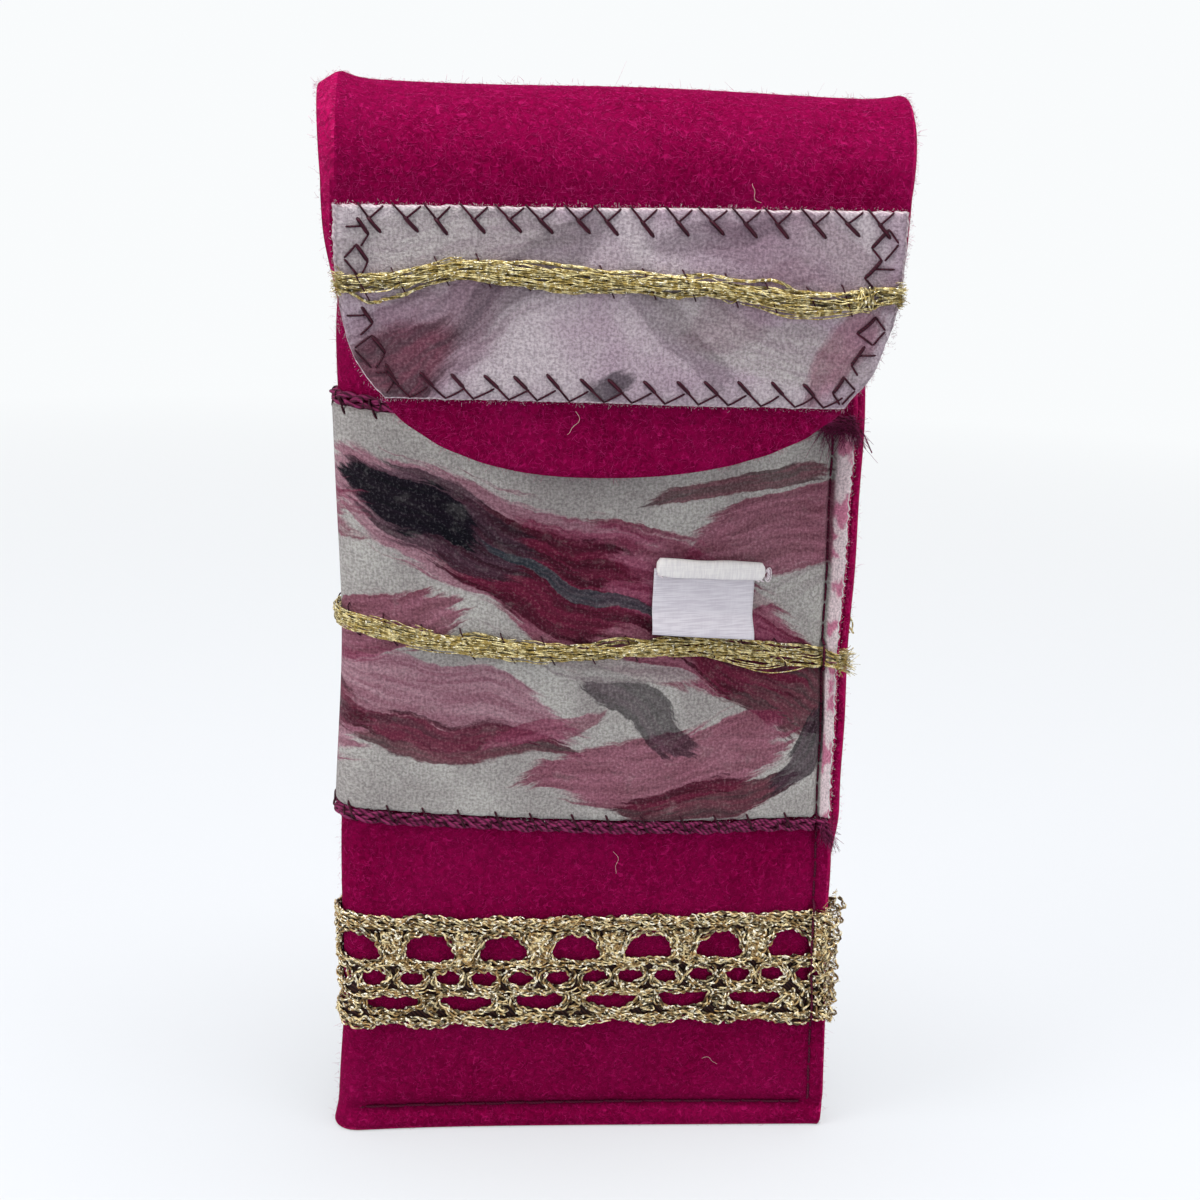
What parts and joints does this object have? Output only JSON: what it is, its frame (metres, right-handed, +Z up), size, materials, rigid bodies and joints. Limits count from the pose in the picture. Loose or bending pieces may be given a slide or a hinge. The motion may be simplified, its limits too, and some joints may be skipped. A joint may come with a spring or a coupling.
{
  "type": "felt glasses case",
  "caption": "Soft upright felt glasses case: a sewn pouch with a fold-over flap that opens at the top, with a velvet patch, gold yarn, lace band and blank woven label.",
  "frame": {"origin": "Centre of the base of the bounding box. The case stands upright on its bottom seam, flap closed.", "axes": "+X is to the right as one faces the front, +Y runs from the front to the back (the front faces -Y), +Z is up."},
  "size_m": [0.0958, 0.0367, 0.188],
  "materials": {
    "felt": "thick fuzzy magenta wool felt",
    "velvet": "printed velvet, marbled grey, rose and near black",
    "gold_yarn": "twisted metallic gold yarn",
    "gold_lace": "metallic gold braided lace",
    "plum_yarn": "soft plum yarn",
    "thread": "dark burgundy sewing thread",
    "label": "bare white woven ribbon",
    "nickel": "nickel-plated press stud"
  },
  "bodies": {
    "case": {"felt_body": "felt", "body_velvet_patch": "velvet", "body_gold_yarn": "gold_yarn", "top_plum_yarn": "plum_yarn", "bottom_plum_yarn": "plum_yarn", "gold_lace_band": "gold_lace", "side_seam_thread_front": "thread", "side_seam_thread_back": "thread", "bottom_seam_thread_front": "thread", "bottom_seam_thread_back": "thread", "body_yarn_couching": "thread", "top_plum_couching": "thread", "bottom_plum_couching": "thread", "blank_label": "label", "label_stitch_left": "thread", "label_stitch_right": "thread", "press_stud_socket": "nickel", "socket_stitch_1": "thread", "socket_stitch_2": "thread", "socket_stitch_3": "thread", "socket_stitch_4": "thread"},
    "bend_back": {"flap_fold_back": "felt"},
    "bend_front": {"flap_fold_front": "felt"},
    "flap": {"flap_panel": "felt", "flap_velvet_patch": "velvet", "flap_gold_yarn": "gold_yarn", "flap_yarn_couching": "thread", "flap_upper_feather_stitch": "thread", "flap_lower_feather_stitch": "thread", "press_stud_ball": "nickel", "ball_stitch_1": "thread", "ball_stitch_2": "thread", "ball_stitch_3": "thread", "ball_stitch_4": "thread"}
  },
  "joints": [
    {"name": "flap_bend_1", "type": "hinge", "parent": "case", "child": "bend_back", "pos_m": [0.00118, 0.01494, 0.18021], "axis": [-1, 0, 0], "range_deg": [0, 66]},
    {"name": "flap_bend_2", "type": "hinge", "parent": "bend_back", "child": "bend_front", "pos_m": [0.00118, 0.00145, 0.188], "axis": [-1, 0, 0], "range_deg": [0, 66]},
    {"name": "flap_bend_3", "type": "hinge", "parent": "bend_front", "child": "flap", "pos_m": [0.00118, -0.01204, 0.18021], "axis": [-1, 0, 0], "range_deg": [0, 66]}
  ],
  "couplings": [
    {"joint": "flap_bend_2", "follows": "flap_bend_1", "ratio": 1},
    {"joint": "flap_bend_3", "follows": "flap_bend_1", "ratio": 1}
  ]
}
